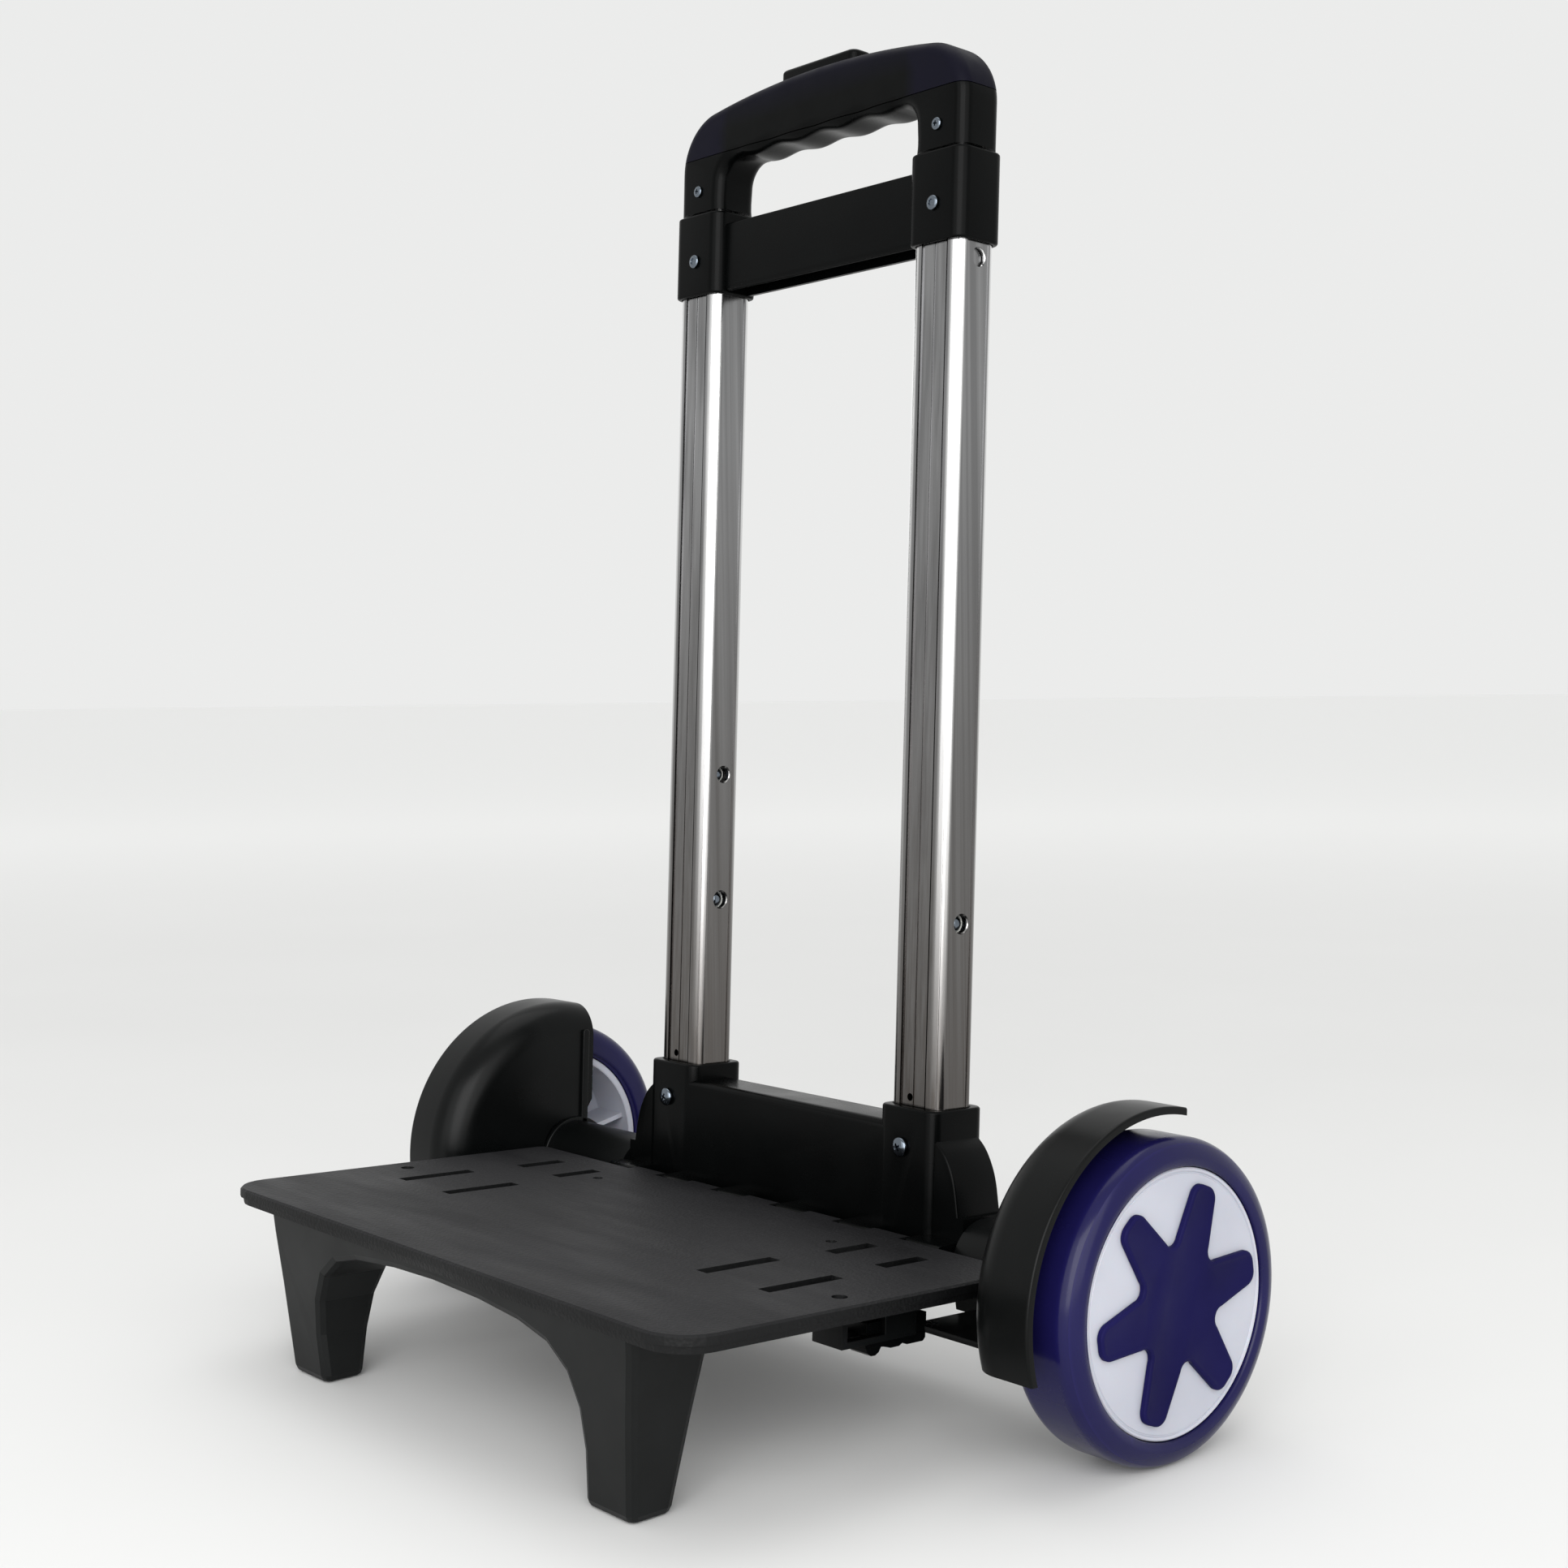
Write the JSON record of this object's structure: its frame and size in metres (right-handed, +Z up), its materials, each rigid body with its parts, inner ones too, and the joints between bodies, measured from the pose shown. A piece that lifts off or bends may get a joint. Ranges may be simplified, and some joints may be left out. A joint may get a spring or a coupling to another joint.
{
  "type": "folding platform cart",
  "caption": "Folding platform cart with spoked wheels under fenders, a hinged strap-slotted platform on two legs, twin telescopic tubes and a grip with a release button.",
  "frame": {"origin": "centre of the bounding box at floor level, between the wheels' contact and the feet", "axes": "+X to the cart's right along the axle, +Y to the back (the platform points to -Y), +Z up"},
  "size_m": [0.3466, 0.2094, 0.463],
  "materials": {
    "plastic": "satin black moulding",
    "deck": "finely grained black",
    "shell": "soft-touch navy",
    "button": "satin black",
    "tyre": "glossy navy, moulded",
    "hub": "pale lavender-white, moulded",
    "nylon": "natural nylon",
    "steel": "drawn",
    "zinc": "zinc plated",
    "aluminium": "satin anodised"
  },
  "bodies": {
    "frame": {"axle_housing": "plastic", "fender_left": "plastic", "fender_right": "plastic", "wheel_axle": "steel", "axle_spacer_left": "nylon", "axle_spacer_right": "nylon", "push_nut_left": "steel", "push_nut_right": "steel", "outer_tube_left": "aluminium", "outer_tube_right": "aluminium", "upper_bracket": "plastic", "socket_screw_left": "zinc", "socket_screw_right": "zinc", "bracket_rivet_left": "zinc", "bracket_rivet_right": "zinc", "fold_hinge_pin": "steel"},
    "platform": {"platform_deck": "deck", "leg_frame": "plastic", "leg_screw_left": "zinc", "leg_screw_right": "zinc", "latch_rail": "plastic"},
    "fold_latch": {"fold_latch": "plastic"},
    "wheel_left": {"tyre_left": "tyre", "wheel_hub_left": "hub", "star_cap_left": "tyre", "wheel_bush_left": "nylon"},
    "wheel_right": {"tyre_right": "tyre", "wheel_hub_right": "hub", "star_cap_right": "tyre", "wheel_bush_right": "nylon"},
    "mid_stage": {"mid_tube_left": "aluminium", "mid_tube_right": "aluminium", "mid_block_left": "nylon", "mid_block_right": "nylon"},
    "handle_stage": {"inner_tube_left": "aluminium", "inner_tube_right": "aluminium", "inner_block_left": "nylon", "inner_block_right": "nylon", "grip_lower": "plastic", "grip_shell": "shell", "grip_screw_left": "zinc", "grip_screw_right": "zinc", "button_spring": "steel"},
    "release_button": {"release_button": "button", "push_rod_left": "steel", "push_rod_right": "steel"},
    "mid_pin_left": {"mid_lock_pin_left": "zinc"},
    "mid_pin_right": {"mid_lock_pin_right": "zinc"},
    "inner_pin_left": {"inner_lock_pin_left": "zinc"},
    "inner_pin_right": {"inner_lock_pin_right": "zinc"}
  },
  "joints": [
    {"name": "platform_fold", "type": "hinge", "parent": "frame", "child": "platform", "pos_m": [0, 0.03757, 0.0518], "axis": [-1, 0, 0], "range_deg": [0, 90]},
    {"name": "latch_slide", "type": "slide", "parent": "platform", "child": "fold_latch", "axis": [0, -0.9989, 0.0471], "range_m": [0, 0.008]},
    {"name": "wheel_left_spin", "type": "hinge", "parent": "frame", "child": "wheel_left", "pos_m": [-0.1598, 0.0545, 0.05], "axis": [1, 0, 0], "continuous": true},
    {"name": "wheel_right_spin", "type": "hinge", "parent": "frame", "child": "wheel_right", "pos_m": [0.1598, 0.0545, 0.05], "axis": [1, 0, 0], "continuous": true},
    {"name": "mid_stage_slide", "type": "slide", "parent": "frame", "child": "mid_stage", "axis": [0, 0.0471, 0.9989], "range_m": [0, 0.2235]},
    {"name": "handle_stage_slide", "type": "slide", "parent": "mid_stage", "child": "handle_stage", "axis": [0, 0.0471, 0.9989], "range_m": [0, 0.185]},
    {"name": "release_press", "type": "slide", "parent": "handle_stage", "child": "release_button", "axis": [0, -0.0471, -0.9989], "range_m": [0, 0.004], "stiffness_N_per_m": 900, "springref_m": -0.004, "deforming": ["button_spring"]},
    {"name": "mid_pin_left_slide", "type": "slide", "parent": "mid_stage", "child": "mid_pin_left", "axis": [-1, 0, 0], "range_m": [0, 0.002]},
    {"name": "mid_pin_right_slide", "type": "slide", "parent": "mid_stage", "child": "mid_pin_right", "axis": [-1, 0, 0], "range_m": [0, 0.002]},
    {"name": "inner_pin_left_slide", "type": "slide", "parent": "handle_stage", "child": "inner_pin_left", "axis": [-1, 0, 0], "range_m": [0, 0.0015]},
    {"name": "inner_pin_right_slide", "type": "slide", "parent": "handle_stage", "child": "inner_pin_right", "axis": [-1, 0, 0], "range_m": [0, 0.0015]}
  ],
  "couplings": [
    {"joint": "mid_pin_left_slide", "follows": "release_press", "ratio": 0.5},
    {"joint": "mid_pin_right_slide", "follows": "release_press", "ratio": 0.5},
    {"joint": "inner_pin_left_slide", "follows": "release_press", "ratio": 0.375},
    {"joint": "inner_pin_right_slide", "follows": "release_press", "ratio": 0.375}
  ]
}
